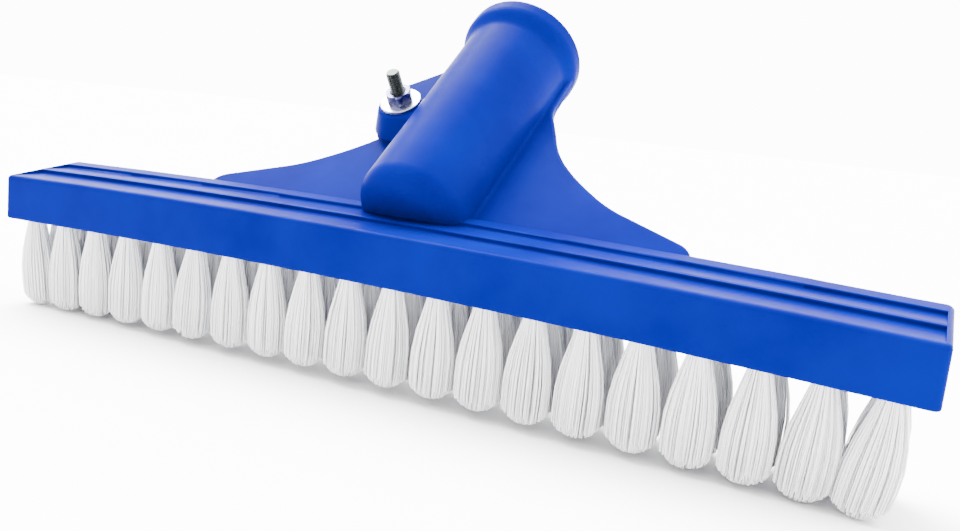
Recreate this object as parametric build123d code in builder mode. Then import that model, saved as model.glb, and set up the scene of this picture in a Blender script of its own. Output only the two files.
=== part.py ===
"""Pool wall brush: a moulded plastic brush with a split pole socket and a clamp bolt.

Millimetres, +Z up. X runs along the bar, the bristles point down, and the pole socket rises
towards +Y. The origin is under the middle of the brush, level with the lowest bristle tips.
"""
import os
from math import asin, cos, degrees, radians, sin, sqrt

from build123d import *

os.makedirs("parts", exist_ok=True)

# Bar that holds the bristles
BAR_LENGTH = 254.0
BAR_DEPTH = 26.4
FRONT_HEIGHT = 12.7
REAR_HEIGHT = 16.9
ARCH_DROP = 2.06  # how far the two ends lie below the middle
PLAN_CORNER = 1.8
EDGE_ROUND = 1.2
CHEEK = 1.8  # closes the stepped top at each end
STEP_FOOT = (11.2, 20.6)  # depth of each riser, from the front face
STEP_RISE = (1.2, 1.1)
STEP_START = (1.6, 12.4)  # where each terrace leaves the top slope
STEP_COVE = 0.6  # at the foot of a riser
STEP_ROUND = 0.4  # along its top edge

# Bristle tufts
TUFTS_PER_ROW = 20
TUFT_PITCH = 12.5
ROW_DEPTHS = (4.8, 13.0, 21.2)  # from the front face
HOLE_RADIUS = 2.6
HOLE_DEPTH = 9.5
TUFT_RADIUS = 2.55
TUFT_LENGTH = 25.4  # below the bar
TUFT_FAN_START = 0.6
BELLY_DROP = 19.5  # where a tuft is widest, below the bar
BELLY_HALF_WIDTH = 5.9  # along the bar
BELLY_HALF_DEPTH = 3.8
TIP_HALF_WIDTH = 5.2
TIP_HALF_DEPTH = 3.3
TIP_ROUND = 2.2

# Anchors that hold the folded filaments in their holes
ANCHOR_LENGTH = 5.6
ANCHOR_HEIGHT = 1.8
ANCHOR_THICKNESS = 0.4
ANCHOR_BASE = 6.4  # underside of the bar to the bottom of the anchor
ANCHOR_GAP = 0.05

# Pole socket and web, which slope up to the rear together
SLOPE = 37.3
AXIS_HEIGHT = 20.0  # socket axis above the underside, at the bar's rear face
SOCKET_FOOT = -10.5  # distances along the slope, from the bar's rear face
SOCKET_MOUTH = 70.9
SOCKET_FOOT_RADIUS = 15.1
SOCKET_NECK = 60.0
SOCKET_NECK_RADIUS = 16.1
RIM_START = 66.0
RIM_RADIUS = 18.4
RIM_ROUND = 2.2
FOOT_ROUND = 6.0
FOOT_CLEAR = 1.5  # the socket stops this far above the bar's underside
BORE_RADIUS = 12.8
BORE_DEPTH = 70.0
BORE_CHAMFER = 1.0

WEB_TOP = -3.3  # heights above the socket axis, square to the slope
WEB_THICKNESS = 3.5
WEB_INSIDE_BAR = 9.0
WEB_CORNER = (72.0, -0.2)  # half outline: across, and up the slope from the bar's rear face
WEB_CORNER_ROUND = 6.0
WEB_SHOULDER = (52.0, 8.2)
WEB_WAIST = ((39.4, 16.2), (25.8, 30.9), (20.6, 41.5))
WEB_NECK = (17.4, 52.0)
WEB_END = 65.0
WEB_EDGE_ROUND = 0.9
WEB_FILLET = 1.0  # along the socket

# Clamp: a split ear above the web, pulled down by a bolt
SLIT_WIDTH = 2.0
SLIT_START = 7.0
BOLT_X = -22.4
BOLT_V = 32.0
EAR_TOP = 5.3
EAR_INSIDE = 8.0  # the ear's outline stops inside the tube, this far from its axis
EAR_RADIUS = 9.5
EAR_REACH = 1.4  # how far its slanted side stands out beyond that radius
EAR_FLAT = 0.2
EAR_TAPER = 22.0
EAR_ROUND = 0.7
SEAT_RADIUS = 9.5
SEAT_BOTTOM = -12.1
SEAT_TAPER = 4.0
BOLT_HOLE_RADIUS = 2.25
BOLT_RADIUS = 2.0
BOLT_LENGTH = 25.0
BOLT_POINT = 0.5
HEAD_FLATS = 7.0
HEAD_HEIGHT = 2.8
POCKET_FLATS = 7.3
POCKET_DEPTH = 3.0
WASHER_RADIUS = 6.0
WASHER_BORE_RADIUS = 2.15
WASHER_THICKNESS = 1.0
NUT_FLATS = 7.0
NUT_HEIGHT = 3.2
NUT_BORE_RADIUS = 2.06
NUT_CORNER_RADIUS = 3.95  # the hexagon's corners are turned down to this

SLIT_TOP = WEB_TOP + SLIT_WIDTH
ARCH_RADIUS = ((BAR_LENGTH / 2) ** 2 + ARCH_DROP**2) / (2 * ARCH_DROP)


def arch_drop(x):
    """How far the bar's underside at x lies below its middle."""
    return ARCH_RADIUS - sqrt(ARCH_RADIUS**2 - x**2)


COLUMN_X = [(i - (TUFTS_PER_ROW - 1) / 2) * TUFT_PITCH for i in range(TUFTS_PER_ROW)]
UNDER_Z = TUFT_LENGTH + arch_drop(COLUMN_X[0])
RIM_REACH = (SOCKET_MOUTH - RIM_ROUND) * cos(radians(SLOPE)) + (RIM_RADIUS - RIM_ROUND) * sin(radians(SLOPE))
FRONT_Y = -(BAR_DEPTH + RIM_REACH + RIM_ROUND) / 2
REAR_Y = FRONT_Y + BAR_DEPTH

ARCH_AXIS = Axis((0, FRONT_Y, UNDER_Z - ARCH_RADIUS), (0, 1, 0))
SLOPE_PLANE = Plane(
    origin=(0, REAR_Y, UNDER_Z + AXIS_HEIGHT),
    x_dir=(1, 0, 0),
    z_dir=(0, -sin(radians(SLOPE)), cos(radians(SLOPE))),
)
SOCKET_AXIS = Axis(SLOPE_PLANE.origin, SLOPE_PLANE.y_dir)
CLAMP_AXIS = Axis(SLOPE_PLANE.origin, SLOPE_PLANE.z_dir)
SOCKET_PROFILE = Plane(SLOPE_PLANE.origin, x_dir=SLOPE_PLANE.y_dir, z_dir=SLOPE_PLANE.x_dir)


def bar_section(x):
    """Plane square to the arch at x: local x is depth from the front, local y is height."""
    tilt = asin(x / ARCH_RADIUS)
    return Plane(
        origin=(x, FRONT_Y, UNDER_Z - arch_drop(x)),
        x_dir=(0, 1, 0),
        z_dir=(cos(tilt), 0, -sin(tilt)),
    )


def arch_sweep(half_length):
    """Angle that takes a section from -half_length to +half_length about the arch's axis."""
    return 2 * degrees(asin(half_length / ARCH_RADIUS))


def top_slope(depth):
    """Height of the bar's smooth top line at a depth from the front face."""
    return FRONT_HEIGHT + (REAR_HEIGHT - FRONT_HEIGHT) * depth / BAR_DEPTH


def socket_tube():
    """Outside of the socket as a solid of revolution, cut off level above the underside."""
    with BuildPart() as tube:
        with BuildSketch(SOCKET_PROFILE):
            with BuildLine():
                foot = Line((SOCKET_FOOT, 0), (SOCKET_FOOT, SOCKET_FOOT_RADIUS))
                side = Line(foot @ 1, (SOCKET_NECK, SOCKET_NECK_RADIUS))
                flare = Spline(side @ 1, (RIM_START, RIM_RADIUS), tangents=(side % 1, (1, 0)))
                rim = Line(flare @ 1, (SOCKET_MOUTH, RIM_RADIUS))
                mouth = Line(rim @ 1, (SOCKET_MOUTH, 0))
                Line(mouth @ 1, foot @ 0)
            make_face()
            fillet(vertices().sort_by_distance(foot @ 1)[0], FOOT_ROUND)
            fillet(vertices().sort_by_distance(rim @ 1)[0], RIM_ROUND)
        revolve(axis=SOCKET_AXIS)
        split(bisect_by=Plane.XY.offset(UNDER_Z + FOOT_CLEAR), keep=Keep.TOP)
    return tube.part


def web_plate():
    """Flat plate with a straight shoulder and a waist that curves in to the socket."""
    with BuildPart() as web:
        with BuildSketch(SLOPE_PLANE.offset(WEB_TOP)):
            with BuildLine():
                Line((0, -WEB_INSIDE_BAR), (WEB_CORNER[0], -WEB_INSIDE_BAR))
                Line((WEB_CORNER[0], -WEB_INSIDE_BAR), WEB_CORNER)
                shoulder = Line(WEB_CORNER, WEB_SHOULDER)
                Spline(WEB_SHOULDER, *WEB_WAIST, WEB_NECK, tangents=(shoulder % 1, (0, 1)))
                Line(WEB_NECK, (WEB_NECK[0], WEB_END))
                Line((WEB_NECK[0], WEB_END), (0, WEB_END))
                mirror(about=Plane.YZ)
            make_face()
            for side in (-1, 1):
                corner = vertices().sort_by_distance((side * WEB_CORNER[0], WEB_CORNER[1]))[0]
                fillet(corner, WEB_CORNER_ROUND)
        extrude(amount=-WEB_THICKNESS)
        faces_across = web.faces().sort_by(CLAMP_AXIS)
        fillet(faces_across[0].edges() + faces_across[-1].edges(), WEB_EDGE_ROUND)
    return web.part


def clamp_boss(start, height, radius, taper):
    """Tapered boss about the bolt that runs up the slope and into the socket's side."""
    low, left = BOLT_V - radius, BOLT_X - radius
    diagonal = (radius + EAR_REACH) * sqrt(2)
    with BuildPart() as boss:
        with BuildSketch(SLOPE_PLANE.offset(start)):
            with BuildLine():
                Polyline(
                    (left, low),
                    (-EAR_INSIDE, low),
                    (-EAR_INSIDE, BOLT_V - BOLT_X - EAR_INSIDE + diagonal),
                    (left, low + diagonal),
                    close=True,
                )
            make_face()
            fillet(vertices().group_by(Axis.X)[0], radius - EAR_FLAT)
        extrude(amount=height, taper=taper)
        end_face = boss.faces().sort_by(CLAMP_AXIS)[-1 if height > 0 else 0]
        fillet(end_face.edges(), EAR_ROUND)
    return boss.part


def on_web_top(edge):
    """Whether an edge lies in the plane of the web's top face."""
    return abs(SLOPE_PLANE.to_local_coords(edge.center()).Z - WEB_TOP) < 0.01


def beside_socket(edge):
    """Whether an edge runs along the socket, behind the bar."""
    place = SLOPE_PLANE.to_local_coords(edge.center())
    return abs(place.X) < WEB_NECK[0] - WEB_EDGE_ROUND and place.Y > 0


# Bar: an arched blank with rounded ends
OVERSIZE = 3.0
with BuildPart() as brush_body:
    with BuildSketch(bar_section(-BAR_LENGTH / 2 - OVERSIZE)):
        with BuildLine():
            Polyline(
                (0, 0),
                (BAR_DEPTH, 0),
                (BAR_DEPTH, REAR_HEIGHT),
                (0, FRONT_HEIGHT),
                close=True,
            )
        make_face()
    revolve(axis=ARCH_AXIS, revolution_arc=arch_sweep(BAR_LENGTH / 2 + OVERSIZE))
    with BuildSketch(Plane.XY.offset(UNDER_Z - 2 * OVERSIZE)):
        with Locations((0, FRONT_Y + BAR_DEPTH / 2)):
            RectangleRounded(BAR_LENGTH, BAR_DEPTH, PLAN_CORNER)
    extrude(amount=REAR_HEIGHT + 3 * OVERSIZE, mode=Mode.INTERSECT)
    fillet(brush_body.faces().sort_by(Axis.Z)[-1].edges(), EDGE_ROUND)
    fillet(brush_body.faces().sort_by(Axis.Z)[0].edges(), EDGE_ROUND / 2)

    # Two risers step the top up towards the rear
    with BuildSketch(bar_section(-BAR_LENGTH / 2 + CHEEK)):
        for start, foot, rise in zip(STEP_START, STEP_FOOT, STEP_RISE):
            with BuildLine():
                Polyline(
                    (start, top_slope(start)),
                    (foot, top_slope(foot) - rise),
                    (foot, top_slope(foot) + OVERSIZE),
                    (start, top_slope(start) + OVERSIZE),
                    close=True,
                )
            make_face()
            fillet(vertices().sort_by_distance((foot, top_slope(foot) - rise))[0], STEP_COVE)
    revolve(axis=ARCH_AXIS, revolution_arc=arch_sweep(BAR_LENGTH / 2 - CHEEK), mode=Mode.SUBTRACT)
    long_edges = brush_body.edges().filter_by(lambda edge: edge.length > BAR_LENGTH - 4 * CHEEK)
    for foot in STEP_FOOT:
        riser_edges = long_edges.filter_by_position(Axis.Y, FRONT_Y + foot - 0.01, FRONT_Y + foot + 0.01)
        fillet(riser_edges.sort_by(Axis.Z)[-1], STEP_ROUND)

    # Web and socket tube, joined by a small fillet on top of the web
    add(web_plate())
    add(socket_tube())
    joints = edges().filter_by(lambda edge: on_web_top(edge) and beside_socket(edge))
    fillet(joints, WEB_FILLET)

    # Clamp: a seat under the web for the bolt's head, and a tapered ear on the split side
    add(clamp_boss(WEB_TOP, SEAT_BOTTOM - WEB_TOP, SEAT_RADIUS, SEAT_TAPER))
    add(clamp_boss(SLIT_TOP, EAR_TOP - SLIT_TOP, EAR_RADIUS, EAR_TAPER))

    # Bore, with a chamfered mouth
    with BuildSketch(SOCKET_PROFILE):
        with BuildLine():
            Polyline(
                (SOCKET_MOUTH - BORE_DEPTH, 0),
                (SOCKET_MOUTH - BORE_DEPTH, BORE_RADIUS),
                (SOCKET_MOUTH - BORE_CHAMFER, BORE_RADIUS),
                (SOCKET_MOUTH + BORE_CHAMFER, BORE_RADIUS + 2 * BORE_CHAMFER),
                (SOCKET_MOUTH + BORE_CHAMFER, 0),
                close=True,
            )
        make_face()
    revolve(axis=SOCKET_AXIS, mode=Mode.SUBTRACT)

    # Slit along the socket's -X side, with a round end
    with BuildSketch(SOCKET_PROFILE):
        with Locations(((SLIT_START + SOCKET_MOUTH) / 2, WEB_TOP + SLIT_WIDTH / 2)):
            SlotCenterToCenter(SOCKET_MOUTH - SLIT_START, SLIT_WIDTH)
    extrude(amount=BOLT_X * 2, mode=Mode.SUBTRACT)

    # Bolt hole through both ears and the hexagon pocket for the head
    with BuildSketch(SLOPE_PLANE.offset(SEAT_BOTTOM)):
        with Locations((BOLT_X, BOLT_V)):
            Circle(BOLT_HOLE_RADIUS)
    extrude(amount=EAR_TOP - SEAT_BOTTOM, mode=Mode.SUBTRACT)
    with BuildSketch(SLOPE_PLANE.offset(SEAT_BOTTOM)):
        with Locations((BOLT_X, BOLT_V)):
            RegularPolygon(POCKET_FLATS / 2, 6, major_radius=False)
    extrude(amount=POCKET_DEPTH, mode=Mode.SUBTRACT)

    # Drilled holes for the tufts
    for x in COLUMN_X:
        with BuildSketch(Plane.XY.offset(UNDER_Z - arch_drop(x) + HOLE_DEPTH)):
            with Locations([(x, FRONT_Y + depth) for depth in ROW_DEPTHS]):
                Circle(HOLE_RADIUS)
        extrude(amount=-HOLE_DEPTH - OVERSIZE, mode=Mode.SUBTRACT)

brush_body.part.label = "brush_body"
export_step(brush_body.part, "parts/brush_body.step")


def tuft_column(x):
    """The tufts of one column, front to rear, each slotted where it folds over its anchor."""
    under = UNDER_Z - arch_drop(x)
    with BuildPart() as column:
        for depth in ROW_DEPTHS:
            foot = Plane((x, FRONT_Y + depth, under))
            with BuildSketch(foot.offset(HOLE_DEPTH)):
                Circle(TUFT_RADIUS)
            extrude(amount=-HOLE_DEPTH - TUFT_FAN_START)
            with BuildSketch(foot.offset(-TUFT_FAN_START)):
                Circle(TUFT_RADIUS)
            with BuildSketch(foot.offset(-BELLY_DROP)):
                Ellipse(BELLY_HALF_WIDTH, BELLY_HALF_DEPTH)
            with BuildSketch(foot.offset(-TUFT_LENGTH)):
                Ellipse(TIP_HALF_WIDTH, TIP_HALF_DEPTH)
            loft()
        fillet(column.faces().filter_by(Axis.Z).group_by(Axis.Z)[0].edges(), TIP_ROUND)
        for depth in ROW_DEPTHS:
            with BuildSketch(Plane((x, FRONT_Y + depth, under + ANCHOR_BASE - ANCHOR_GAP))):
                Rectangle(ANCHOR_LENGTH, ANCHOR_THICKNESS + 2 * ANCHOR_GAP)
            extrude(amount=ANCHOR_HEIGHT + 2 * ANCHOR_GAP, mode=Mode.SUBTRACT)
    return column.part


for number, x in enumerate(COLUMN_X, start=1):
    column = tuft_column(x)
    column.label = f"tuft_column_{number:02d}"
    export_step(column, f"parts/tuft_column_{number:02d}.step")

# Anchors: flat strips across the tuft holes that bite into the walls
with BuildPart() as tuft_anchors:
    for x in COLUMN_X:
        with BuildSketch(Plane.XY.offset(UNDER_Z - arch_drop(x) + ANCHOR_BASE)):
            with Locations([(x, FRONT_Y + depth) for depth in ROW_DEPTHS]):
                Rectangle(ANCHOR_LENGTH, ANCHOR_THICKNESS)
        extrude(amount=ANCHOR_HEIGHT)
tuft_anchors.part.label = "tuft_anchors"
export_step(tuft_anchors.part, "parts/tuft_anchors.step")

# Clamp bolt: hexagon head in the pocket, shank up through both ears
HEAD_TOP = SEAT_BOTTOM + POCKET_DEPTH
with BuildPart() as clamp_bolt:
    with BuildSketch(SLOPE_PLANE.offset(HEAD_TOP)):
        with Locations((BOLT_X, BOLT_V)):
            RegularPolygon(HEAD_FLATS / 2, 6, major_radius=False)
    extrude(amount=-HEAD_HEIGHT)
    with BuildSketch(SLOPE_PLANE.offset(HEAD_TOP)):
        with Locations((BOLT_X, BOLT_V)):
            Circle(BOLT_RADIUS)
    extrude(amount=BOLT_LENGTH)
    chamfer(clamp_bolt.faces().sort_by(CLAMP_AXIS)[-1].edges(), BOLT_POINT)
clamp_bolt.part.label = "clamp_bolt"
export_step(clamp_bolt.part, "parts/clamp_bolt.step")

# Clamp washer, flat on the ear
with BuildPart() as clamp_washer:
    with BuildSketch(SLOPE_PLANE.offset(EAR_TOP)):
        with Locations((BOLT_X, BOLT_V)):
            Circle(WASHER_RADIUS)
            Circle(WASHER_BORE_RADIUS, mode=Mode.SUBTRACT)
    extrude(amount=WASHER_THICKNESS)
clamp_washer.part.label = "clamp_washer"
export_step(clamp_washer.part, "parts/clamp_washer.step")

# Clamp nut, with its corners turned off at both faces
NUT_BASE = EAR_TOP + WASHER_THICKNESS
with BuildPart() as clamp_nut:
    with BuildSketch(SLOPE_PLANE.offset(NUT_BASE)):
        with Locations((BOLT_X, BOLT_V)):
            RegularPolygon(NUT_FLATS / 2, 6, major_radius=False)
    extrude(amount=NUT_HEIGHT)
    with BuildSketch(SLOPE_PLANE.offset(NUT_BASE)):
        with Locations((BOLT_X, BOLT_V)):
            Circle(NUT_CORNER_RADIUS)
    extrude(amount=NUT_HEIGHT, mode=Mode.INTERSECT)
    with BuildSketch(SLOPE_PLANE.offset(NUT_BASE)):
        with Locations((BOLT_X, BOLT_V)):
            Circle(NUT_BORE_RADIUS)
    extrude(amount=NUT_HEIGHT, mode=Mode.SUBTRACT)
clamp_nut.part.label = "clamp_nut"
export_step(clamp_nut.part, "parts/clamp_nut.step")
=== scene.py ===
"""Looks for the pool wall brush: moulded blue plastic, nylon filament tufts and clamp hardware."""
import math
import random

import bpy
from mathutils import Matrix, Vector


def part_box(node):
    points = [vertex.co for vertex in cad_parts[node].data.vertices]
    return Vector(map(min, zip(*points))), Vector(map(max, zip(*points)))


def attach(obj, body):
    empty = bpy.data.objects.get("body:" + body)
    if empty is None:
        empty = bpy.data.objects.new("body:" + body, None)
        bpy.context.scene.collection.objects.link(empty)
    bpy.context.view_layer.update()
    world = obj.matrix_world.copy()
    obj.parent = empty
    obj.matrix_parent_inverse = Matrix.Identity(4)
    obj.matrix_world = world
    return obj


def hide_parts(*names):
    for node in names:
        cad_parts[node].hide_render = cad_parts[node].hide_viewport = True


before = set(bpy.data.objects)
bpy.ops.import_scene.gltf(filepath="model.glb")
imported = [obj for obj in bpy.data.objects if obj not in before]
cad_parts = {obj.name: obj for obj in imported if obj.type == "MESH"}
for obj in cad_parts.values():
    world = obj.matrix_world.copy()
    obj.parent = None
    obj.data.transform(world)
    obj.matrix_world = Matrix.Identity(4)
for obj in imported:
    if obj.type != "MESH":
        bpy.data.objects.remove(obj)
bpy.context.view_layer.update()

MM = 0.001
BODY_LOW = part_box("brush_body")[0]
FRONT_Y = BODY_LOW.y
ARCH_DROP = 2.06 * MM  # how far the bar's two ends lie below its middle
UNDER_Z = BODY_LOW.z + ARCH_DROP  # underside of the bar at mid length


# ---------------------------------------------------------------- materials

def material(name):
    """A new node material, with its nodes and links."""
    made = bpy.data.materials.new(name)
    made.use_nodes = True
    return made, made.node_tree.nodes, made.node_tree.links


def noise_node(nodes, links, scale, detail, roughness=0.5):
    """Noise in object space, scale in features per metre."""
    place = nodes.new("ShaderNodeTexCoord")
    noise = nodes.new("ShaderNodeTexNoise")
    noise.inputs["Scale"].default_value = scale
    noise.inputs["Detail"].default_value = detail
    noise.inputs["Roughness"].default_value = roughness
    links.new(place.outputs["Object"], noise.inputs["Vector"])
    return noise


def ramp_node(nodes, links, source, stops):
    """Colour ramp of (position, colour) stops fed by source."""
    ramp = nodes.new("ShaderNodeValToRGB")
    elements = ramp.color_ramp.elements
    elements[0].position, elements[0].color = stops[0][0], (*stops[0][1], 1)
    elements[1].position, elements[1].color = stops[-1][0], (*stops[-1][1], 1)
    for position, colour in stops[1:-1]:
        element = elements.new(position)
        element.color = (*colour, 1)
    links.new(source, ramp.inputs["Fac"])
    return ramp


def range_node(nodes, links, source, low, high):
    """Maps a 0 to 1 value on to low to high."""
    mapped = nodes.new("ShaderNodeMapRange")
    mapped.inputs["To Min"].default_value = low
    mapped.inputs["To Max"].default_value = high
    links.new(source, mapped.inputs["Value"])
    return mapped


def bump_node(nodes, links, source, distance, strength, under=None):
    """Bump from a height source, distance in metres, on top of another bump."""
    bump = nodes.new("ShaderNodeBump")
    bump.inputs["Distance"].default_value = distance
    bump.inputs["Strength"].default_value = strength
    links.new(source, bump.inputs["Height"])
    if under:
        links.new(under.outputs["Normal"], bump.inputs["Normal"])
    return bump


PLASTIC_DEEP = (0.0, 0.0012, 0.075)
PLASTIC_LIGHT = (0.0, 0.0028, 0.098)
PLASTIC_COLOURS = [(0.3, PLASTIC_DEEP), (0.7, PLASTIC_LIGHT)]
PLASTIC_MOTTLE = (55, 5)  # noise scale and detail
PLASTIC_HAZE = (240, 6, 0.6)  # noise scale, detail and roughness
PLASTIC_ROUGHNESS = (0.26, 0.44)
PLASTIC_WAVES = (90, 2)
PLASTIC_WAVE_HEIGHT = 0.12 * MM
PLASTIC_WAVE_STRENGTH = 0.4
PLASTIC_GRAIN = (3500, 3)
PLASTIC_IOR = 1.49
PLASTIC_GLOSS = 0.004
PLASTIC_GLOSS_TINT = (0.08, 0.35, 1.0, 1.0)
GRAIN_HEIGHT = 0.01 * MM
GRAIN_STRENGTH = 0.5


def moulded_plastic():
    """Satin blue polypropylene with flow mottling, faint waves and fine grain."""
    made, nodes, links = material("moulded_blue_plastic")
    shader = nodes["Principled BSDF"]
    mottle = noise_node(nodes, links, *PLASTIC_MOTTLE)
    colour = ramp_node(nodes, links, mottle.outputs["Fac"], PLASTIC_COLOURS)
    links.new(colour.outputs["Color"], shader.inputs["Base Color"])
    haze = noise_node(nodes, links, *PLASTIC_HAZE)
    roughness = range_node(nodes, links, haze.outputs["Fac"], *PLASTIC_ROUGHNESS)
    links.new(roughness.outputs["Result"], shader.inputs["Roughness"])
    waves = noise_node(nodes, links, *PLASTIC_WAVES)
    waviness = bump_node(nodes, links, waves.outputs["Fac"], PLASTIC_WAVE_HEIGHT, PLASTIC_WAVE_STRENGTH)
    specks = noise_node(nodes, links, *PLASTIC_GRAIN)
    grain = bump_node(nodes, links, specks.outputs["Fac"], GRAIN_HEIGHT, GRAIN_STRENGTH, waviness)
    links.new(grain.outputs["Normal"], shader.inputs["Normal"])
    shader.inputs["IOR"].default_value = PLASTIC_IOR
    shader.inputs["Specular IOR Level"].default_value = PLASTIC_GLOSS
    shader.inputs["Specular Tint"].default_value = PLASTIC_GLOSS_TINT
    return made


NYLON_TINTS = [(0.0, (0.86, 0.87, 0.91)), (0.45, (0.94, 0.94, 0.96)), (1.0, (0.99, 0.99, 0.99))]
NYLON_ROUGHNESS = (0.22, 0.4)
NYLON_IOR = 1.53
NYLON_GLOSS = 0.3
NYLON_CLEAR = 0.3  # share of the light that passes straight into a strand
NYLON_MILKY = 0.3  # share that scatters inside it
NYLON_SCATTER = 1.0 * MM


def nylon():
    """Clear white filament: each strand has its own tint, and light passes a little way in."""
    made, nodes, links = material("nylon_filament")
    shader = nodes["Principled BSDF"]
    strand = nodes.new("ShaderNodeNewGeometry")
    tint = ramp_node(nodes, links, strand.outputs["Random Per Island"], NYLON_TINTS)
    links.new(tint.outputs["Color"], shader.inputs["Base Color"])
    gloss = range_node(nodes, links, strand.outputs["Random Per Island"], *NYLON_ROUGHNESS)
    links.new(gloss.outputs["Result"], shader.inputs["Roughness"])
    shader.inputs["IOR"].default_value = NYLON_IOR
    shader.inputs["Transmission Weight"].default_value = NYLON_CLEAR
    shader.inputs["Subsurface Weight"].default_value = NYLON_MILKY
    shader.inputs["Subsurface Radius"].default_value = (NYLON_SCATTER, NYLON_SCATTER, NYLON_SCATTER)
    shader.inputs["Specular IOR Level"].default_value = NYLON_GLOSS
    return made


METAL_STAIN = (900, 6, 0.65)  # noise scale, detail and roughness
METAL_STAIN_STOPS = (0.35, 0.65)
METAL_GRAIN = (6000, 2)


def metal(name, dark, light, roughness):
    """Plated or blackened steel with fine streaks and stains."""
    made, nodes, links = material(name)
    shader = nodes["Principled BSDF"]
    stain = noise_node(nodes, links, *METAL_STAIN)
    colours = list(zip(METAL_STAIN_STOPS, (dark, light)))
    colour = ramp_node(nodes, links, stain.outputs["Fac"], colours)
    links.new(colour.outputs["Color"], shader.inputs["Base Color"])
    shader.inputs["Metallic"].default_value = 1.0
    rough = range_node(nodes, links, stain.outputs["Fac"], *roughness)
    links.new(rough.outputs["Result"], shader.inputs["Roughness"])
    specks = noise_node(nodes, links, *METAL_GRAIN)
    grain = bump_node(nodes, links, specks.outputs["Fac"], GRAIN_HEIGHT, GRAIN_STRENGTH)
    links.new(grain.outputs["Normal"], shader.inputs["Normal"])
    return made


PLASTIC = moulded_plastic()
NYLON = nylon()
DARK_STEEL = metal("dark_steel", (0.010, 0.012, 0.012), (0.035, 0.04, 0.04), (0.3, 0.5))
# Nut: dark steel. The blue-violet tint in both of its colours is a painted reflection of the blue
# plastic beside it.
NUT_STEEL_BLUE_REFLECTION = metal("nut_steel_painted_blue_reflection", (0.04, 0.04, 0.10), (0.10, 0.10, 0.20), (0.25, 0.45))
ZINC = metal("bright_zinc", (0.40, 0.42, 0.45), (0.58, 0.60, 0.62), (0.22, 0.4))
STAINLESS = metal("stainless_wire", (0.5, 0.5, 0.5), (0.7, 0.7, 0.7), (0.25, 0.4))


def dress(node, made):
    """Gives a carried-over CAD node its material."""
    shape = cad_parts[node].data
    shape.materials.clear()
    shape.materials.append(made)


dress("brush_body", PLASTIC)
dress("tuft_anchors", STAINLESS)


# ---------------------------------------------------------------- pieces

SHARP_ANGLE = math.radians(32)


def piece(name, points, faces, made, node, body):
    """A new piece in place of a CAD node, smooth apart from its sharp corners."""
    shape = bpy.data.meshes.new(name)
    shape.from_pydata(points, [], faces)
    shape.materials.append(made)
    shape.polygons.foreach_set("use_smooth", [True] * len(shape.polygons))
    shape.set_sharp_from_angle(angle=SHARP_ANGLE)
    shape.update()
    thing = bpy.data.objects.new(name, shape)
    bpy.context.scene.collection.objects.link(thing)
    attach(thing, body)
    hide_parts(node)


# Filament tufts
ROW_DEPTHS = (4.8 * MM, 13.0 * MM, 21.2 * MM)
TUFT_LENGTH = 25.4 * MM
HOLE_DEPTH = 9.0 * MM  # the strands start this far up their holes
ROOT_RADIUS = 2.3 * MM
BELLY_AT = 0.74  # share of the length where a tuft is widest
BELLY_POWER = 1.1  # how late the strands swing out to it
BELLY_HALF_WIDTH = 5.8 * MM
BELLY_HALF_DEPTH = 3.7 * MM
TIP_SHARE = 0.93  # how wide the tips are, of the belly
TIP_DOME = 3.0 * MM  # how much shorter the outermost strands are
TIP_DOME_POWER = 2.5
END_LEAN = 2.6 * MM  # how far the tips of the two end columns lean in
END_LEAN_POWER = 7  # how fast that dies away towards the middle
LEAN_CURVE = 1.5  # how late a strand bends over as it leans
TUFT_STRAY = (0.2 * MM, 0.15 * MM)  # spread of a whole tuft's random lean, along X and Y
STRAND_STRAY = 0.12 * MM  # spread of one strand about its place in the tuft
LENGTH_STRAY = 0.15 * MM
SEED = 700
FILAMENTS = 280
FILAMENT_RADIUS = 0.15 * MM
FILAMENT_SIDES = 5
FILAMENT_STEPS = (0.0, 0.2, 0.42, 0.64, 0.84, 1.0)
COLUMNS = 20
END_LOW, END_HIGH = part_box(f"tuft_column_{COLUMNS}")
END_COLUMN = (END_LOW.x + END_HIGH.x) / 2


def filament(points, faces, path):
    """Adds one strand along path as a tube with closed ends."""
    first = len(points)
    for place in path:
        for k in range(FILAMENT_SIDES):
            turn = 2 * math.pi * k / FILAMENT_SIDES
            points.append(place + FILAMENT_RADIUS * Vector((math.cos(turn), math.sin(turn), 0)))
    for ring in range(len(path) - 1):
        a = first + ring * FILAMENT_SIDES
        for k in range(FILAMENT_SIDES):
            after = (k + 1) % FILAMENT_SIDES
            faces.append((a + k, a + FILAMENT_SIDES + k, a + FILAMENT_SIDES + after, a + after))
    faces.append(tuple(range(first, first + FILAMENT_SIDES)))
    last = len(points) - FILAMENT_SIDES
    faces.append(tuple(reversed(range(last, last + FILAMENT_SIDES))))


def leaf(t):
    """How far a strand has swung out at t along its length: 0 at the root, 1 at the belly."""
    if t < BELLY_AT:
        return math.sin(t / BELLY_AT * math.pi / 2) ** BELLY_POWER
    return 1 - (1 - TIP_SHARE) * ((t - BELLY_AT) / (1 - BELLY_AT)) ** 2


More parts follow.
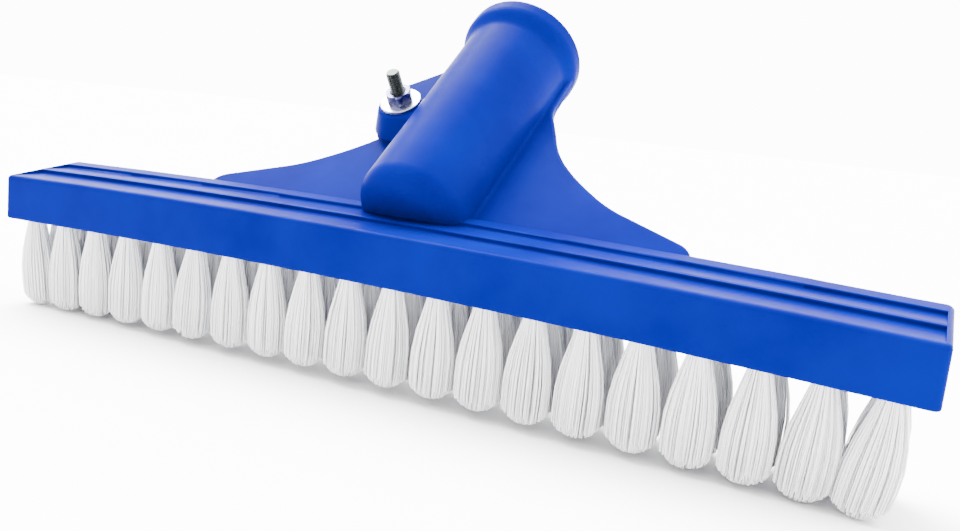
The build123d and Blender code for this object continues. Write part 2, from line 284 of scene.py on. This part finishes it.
def tuft(points, faces, root, rng):
    """Strands that leave a drilled hole together and fan out to a rounded tip."""
    inward = -math.copysign(END_LEAN, root.x) * abs(root.x / END_COLUMN) ** END_LEAN_POWER
    lean = Vector((inward + rng.gauss(0, TUFT_STRAY[0]), rng.gauss(0, TUFT_STRAY[1]), 0))
    for _ in range(FILAMENTS):
        share = math.sqrt(rng.random())
        turn = rng.uniform(0, 2 * math.pi)
        across = Vector((math.cos(turn), math.sin(turn), 0))
        start = across * share * ROOT_RADIUS
        wander = Vector((rng.gauss(0, STRAND_STRAY), rng.gauss(0, STRAND_STRAY), 0))
        spread = Vector((across.x * BELLY_HALF_WIDTH, across.y * BELLY_HALF_DEPTH, 0)) * share
        length = TUFT_LENGTH - TIP_DOME * share**TIP_DOME_POWER - abs(rng.gauss(0, LENGTH_STRAY))
        path = [root + start + Vector((0, 0, HOLE_DEPTH))]
        for t in FILAMENT_STEPS:
            out = start.lerp(spread + wander, leaf(t)) + lean * t**LEAN_CURVE
            path.append(root + out + Vector((0, 0, -length * t)))
        filament(points, faces, path)


def tuft_column(number):
    """The three tufts of one column, in place of its CAD node."""
    node = f"tuft_column_{number:02d}"
    low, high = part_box(node)
    rng = random.Random(SEED + number)
    points, faces = [], []
    for depth in ROW_DEPTHS:
        root = Vector(((low.x + high.x) / 2, FRONT_Y + depth, low.z + TUFT_LENGTH))
        tuft(points, faces, root, rng)
    piece(f"bristles_{number:02d}", points, faces, NYLON, node, "brush")


for number in range(1, COLUMNS + 1):
    tuft_column(number)


# Clamp hardware: stacks of rings about the bolt's axis, heights from the washer's middle
SLOPE = math.radians(37.3)
CLAMP_ACROSS = Vector((1, 0, 0))
CLAMP_UP = Vector((0, -math.sin(SLOPE), math.cos(SLOPE)))
CLAMP_ALONG = CLAMP_UP.cross(CLAMP_ACROSS)
WASHER_LOW, WASHER_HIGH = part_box("clamp_washer")
CLAMP_CENTRE = (WASHER_LOW + WASHER_HIGH) / 2
RING_SIDES = 72
THREAD_PITCH = 0.7 * MM
THREAD_CREST = 1.99 * MM
THREAD_ROOT = 1.62 * MM
THREAD_FLANK = 2.5  # steepness of its flanks, which leaves a flat crest
THREAD_STEPS = 8  # rings in one turn of thread
BOLT_LOW = -14.9 * MM  # top of the bolt's head
BOLT_TIP = 10.1 * MM
BOLT_POINT = 0.5 * MM
HEAD_DEEP = 2.75 * MM
HEAD_BEVEL = 0.3 * MM
HEAD_FACE_RADIUS = 3.3 * MM
HALF_FLATS = 3.49 * MM
HEX_CORNER = 3.93 * MM
NUT_LOW = 0.51 * MM
NUT_TALL = 3.18 * MM
NUT_BORE = 2.07 * MM
NUT_BEVEL = 0.35 * MM
WASHER_RADIUS = 5.98 * MM
WASHER_BORE = 2.16 * MM
WASHER_HALF = 0.49 * MM
WASHER_BEVEL = 0.18 * MM


def hexagon(turn, corner=HEX_CORNER):
    """Radius of the hexagon at an angle, with its corners turned down to corner."""
    from_flat = (turn - math.pi / 6) % (math.pi / 3)
    from_flat = min(from_flat, math.pi / 3 - from_flat)
    return min(HALF_FLATS / math.cos(from_flat), corner)


def ring_stack(rings, loop):
    """Mesh of rings of (height, radius as a number or a function of angle), capped or a loop."""
    points, faces = [], []
    for height, radius in rings:
        for k in range(RING_SIDES):
            turn = 2 * math.pi * k / RING_SIDES
            reach = radius(turn) if callable(radius) else radius
            flat = CLAMP_ACROSS * math.cos(turn) + CLAMP_ALONG * math.sin(turn)
            points.append(CLAMP_CENTRE + flat * reach + CLAMP_UP * height)
    count = len(rings)
    for ring in range(count if loop else count - 1):
        a, b = ring * RING_SIDES, (ring + 1) % count * RING_SIDES
        for k in range(RING_SIDES):
            after = (k + 1) % RING_SIDES
            faces.append((a + k, a + after, b + after, b + k))
    if not loop:
        faces.append(tuple(reversed(range(RING_SIDES))))
        faces.append(tuple(range((count - 1) * RING_SIDES, count * RING_SIDES)))
    return points, faces


def thread_at(height):
    """Radius of the helical thread at a height, as a function of the angle."""
    def radius(turn):
        phase = (height / THREAD_PITCH - turn / (2 * math.pi)) % 1
        ridge = min(1, THREAD_FLANK * (0.5 - abs(phase - 0.5)))
        point = THREAD_ROOT + max(0, BOLT_TIP - height) / BOLT_POINT * (THREAD_CREST - THREAD_ROOT)
        return min(THREAD_ROOT + (THREAD_CREST - THREAD_ROOT) * ridge, point)
    return radius


def bolt():
    """Hexagon head below, then a threaded shank up to a chamfered point."""
    under = BOLT_LOW - HEAD_DEEP
    rings = [
        (under, lambda turn: hexagon(turn, HEAD_FACE_RADIUS)),
        (under + HEAD_BEVEL, hexagon),
        (BOLT_LOW, hexagon),
        (BOLT_LOW, THREAD_ROOT),
    ]
    steps = round((BOLT_TIP - BOLT_LOW) / THREAD_PITCH * THREAD_STEPS)
    for step in range(1, steps + 1):
        height = BOLT_LOW + (BOLT_TIP - BOLT_LOW) * step / steps
        rings.append((height, thread_at(height)))
    points, faces = ring_stack(rings, loop=False)
    piece("bolt", points, faces, DARK_STEEL, "clamp_bolt", "brush")


def nut():
    """Hexagon nut with its corners turned down at both faces, from the outside in to its bore."""
    top = NUT_LOW + NUT_TALL
    rings = [
        (NUT_LOW, NUT_BORE + NUT_BEVEL),
        (NUT_LOW, lambda turn: hexagon(turn, HALF_FLATS)),
        (NUT_LOW + NUT_BEVEL, hexagon),
        (top - NUT_BEVEL, hexagon),
        (top, lambda turn: hexagon(turn, HALF_FLATS)),
        (top, NUT_BORE + NUT_BEVEL),
        (top - NUT_BEVEL, NUT_BORE),
        (NUT_LOW + NUT_BEVEL, NUT_BORE),
    ]
    points, faces = ring_stack(rings, loop=True)
    piece("nut", points, faces, NUT_STEEL_BLUE_REFLECTION, "clamp_nut", "nut")


def washer():
    """Flat ring with its edges bevelled, inside and out."""
    inner = WASHER_BORE + WASHER_BEVEL
    outer = WASHER_RADIUS - WASHER_BEVEL
    rings = [
        (-WASHER_HALF, inner),
        (-WASHER_HALF, outer),
        (-WASHER_HALF + WASHER_BEVEL, WASHER_RADIUS),
        (WASHER_HALF - WASHER_BEVEL, WASHER_RADIUS),
        (WASHER_HALF, outer),
        (WASHER_HALF, inner),
        (WASHER_HALF - WASHER_BEVEL, WASHER_BORE),
        (-WASHER_HALF + WASHER_BEVEL, WASHER_BORE),
    ]
    points, faces = ring_stack(rings, loop=True)
    piece("washer", points, faces, ZINC, "clamp_washer", "washer")


bolt()
nut()
washer()


# ---------------------------------------------------------------- camera, light and floor

CAMERA_AT = Vector((0.1182, FRONT_Y - 0.1842, UNDER_Z + 0.0439))
CAMERA_LOOKS_AT = Vector((0.0311, FRONT_Y, UNDER_Z + 0.0097))
CAMERA_ROLL = math.radians(5.94)
LENS_MM = 34.5
SENSOR_MM = 36
CLIP_START = 0.01


def add_camera():
    """Camera in front of the bar and to its right, looking down a little."""
    lens = bpy.data.cameras.new("camera")
    lens.lens = LENS_MM
    lens.sensor_width = SENSOR_MM
    lens.clip_start = CLIP_START
    camera = bpy.data.objects.new("camera", lens)
    aim = (CAMERA_LOOKS_AT - CAMERA_AT).to_track_quat("-Z", "Y").to_matrix().to_4x4()
    camera.matrix_world = Matrix.Translation(CAMERA_AT) @ aim @ Matrix.Rotation(CAMERA_ROLL, 4, "Z")
    bpy.context.scene.collection.objects.link(camera)
    bpy.context.scene.camera = camera


KEY_DIRECTION = Vector((0.45, -0.25, -1.0))
KEY_STRENGTH = 26.0
KEY_ANGLE = math.radians(50)


def add_key_light():
    """Very soft light from above, behind and to the left."""
    light = bpy.data.lights.new("key", "SUN")
    light.energy = KEY_STRENGTH
    light.angle = KEY_ANGLE
    lamp = bpy.data.objects.new("key", light)
    lamp.rotation_euler = KEY_DIRECTION.to_track_quat("-Z", "Y").to_euler()
    bpy.context.scene.collection.objects.link(lamp)


FRONT_GLOW = 2.6
BACK_GLOW = 13.0
GLOW_FROM = -0.35  # along Y, from -1 in front to 1 behind, the glow rises from here
GLOW_TO = 0.3  # to here


def add_world():
    """White studio: bright behind the object, dimmer overhead and dim in front."""
    world = bpy.data.worlds.new("studio")
    world.use_nodes = True
    nodes, links = world.node_tree.nodes, world.node_tree.links
    place = nodes.new("ShaderNodeTexCoord")
    split = nodes.new("ShaderNodeSeparateXYZ")
    links.new(place.outputs["Generated"], split.inputs["Vector"])
    glow = range_node(nodes, links, split.outputs["Y"], FRONT_GLOW, BACK_GLOW)
    glow.inputs["From Min"].default_value = GLOW_FROM
    glow.inputs["From Max"].default_value = GLOW_TO
    sky = nodes["Background"]
    sky.inputs["Color"].default_value = (1, 1, 1, 1)
    links.new(glow.outputs["Result"], sky.inputs["Strength"])
    bpy.context.scene.world = world


FLOOR_HALF = 4.0
FLOOR_TONES = [(0.3, (0.93, 0.93, 0.94)), (0.7, (0.96, 0.96, 0.96))]
FLOOR_MOTTLE = (4, 3)
FLOOR_ROUGHNESS = 0.8
FLOOR_GLOSS = 0.1


def add_floor():
    """Wide pale floor that the tips of the end tufts stand on."""
    corners = [(-1, -1), (1, -1), (1, 1), (-1, 1)]
    points = [(x * FLOOR_HALF, y * FLOOR_HALF, 0) for x, y in corners]
    shape = bpy.data.meshes.new("floor")
    shape.from_pydata(points, [], [(0, 1, 2, 3)])
    made, nodes, links = material("pale_floor")
    shader = nodes["Principled BSDF"]
    mottle = noise_node(nodes, links, *FLOOR_MOTTLE)
    tone = ramp_node(nodes, links, mottle.outputs["Fac"], FLOOR_TONES)
    links.new(tone.outputs["Color"], shader.inputs["Base Color"])
    shader.inputs["Roughness"].default_value = FLOOR_ROUGHNESS
    shader.inputs["Specular IOR Level"].default_value = FLOOR_GLOSS
    shape.materials.append(made)
    floor = bpy.data.objects.new("floor", shape)
    bpy.context.scene.collection.objects.link(floor)


add_camera()
add_world()
add_floor()
add_key_light()
